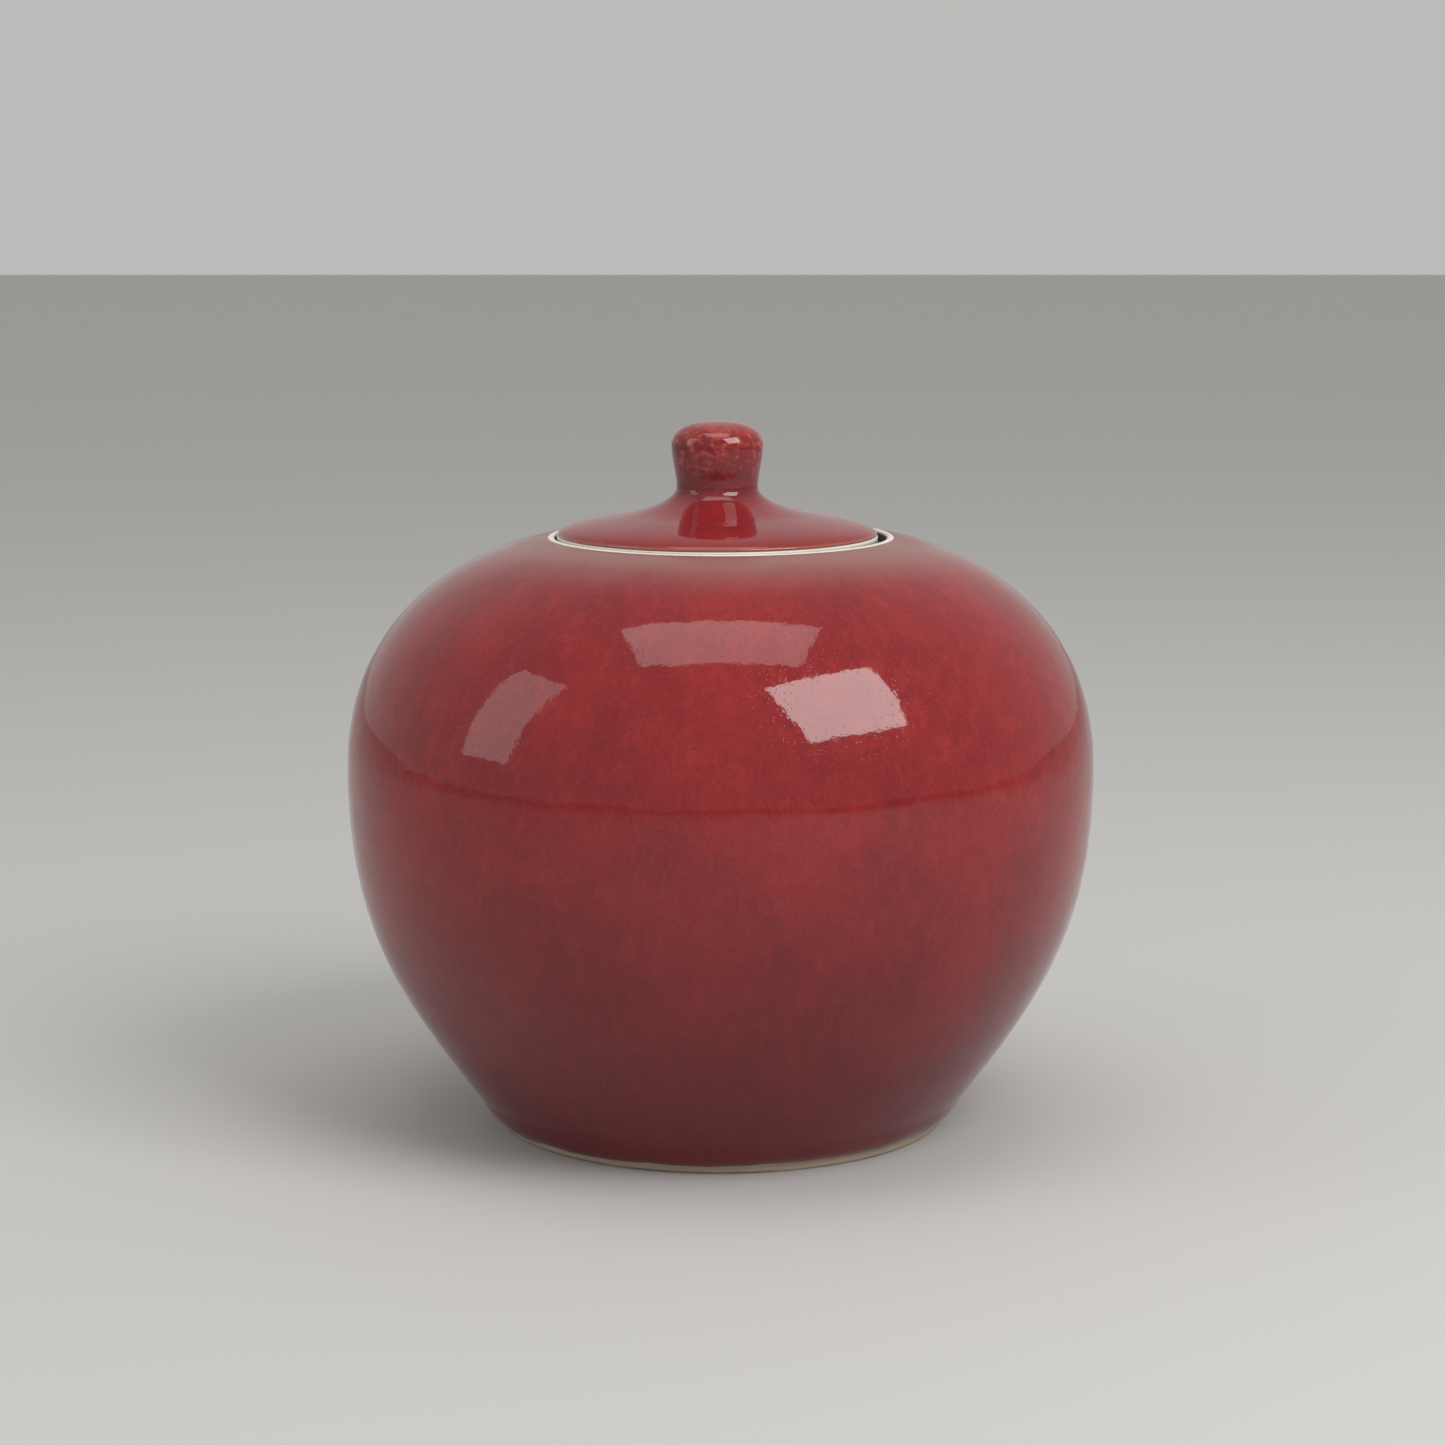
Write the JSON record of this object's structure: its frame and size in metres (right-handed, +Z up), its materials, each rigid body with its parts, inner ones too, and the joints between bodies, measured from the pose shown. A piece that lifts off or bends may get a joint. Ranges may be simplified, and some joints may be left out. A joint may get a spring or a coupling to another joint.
{
  "type": "ginger jar",
  "caption": "Round-shouldered lidded jar in dark red glaze, with an inset domed lid, a bud knob and a bare foot ring.",
  "frame": {"origin": "centre of the foot ring, on the plane the jar stands on", "axes": "+Z up the jar's turning axis, -Y towards a viewer in front; the lid sits 0.9 mm towards -X of the axis"},
  "size_m": [0.203, 0.203, 0.1914],
  "materials": {
    "bare_porcelain": "unglazed fired porcelain, matt and very slightly grainy",
    "oxblood_glaze": "glossy copper-red glaze, mottled, thinner and paler on edges",
    "clear_glaze": "glossy clear glaze over white clay"
  },
  "bodies": {
    "jar": {"jar_body": "bare_porcelain", "jar_glaze": "oxblood_glaze", "liner_glaze": "clear_glaze", "base_glaze": "clear_glaze"},
    "lid": {"lid_body": "bare_porcelain", "lid_knob": "bare_porcelain", "lid_glaze": "oxblood_glaze", "lid_liner_glaze": "clear_glaze"}
  },
  "joints": [
    {"name": "lid_lift", "type": "slide", "parent": "jar", "child": "lid", "axis": [0, 0, 1], "range_m": [0, 0.06]}
  ]
}
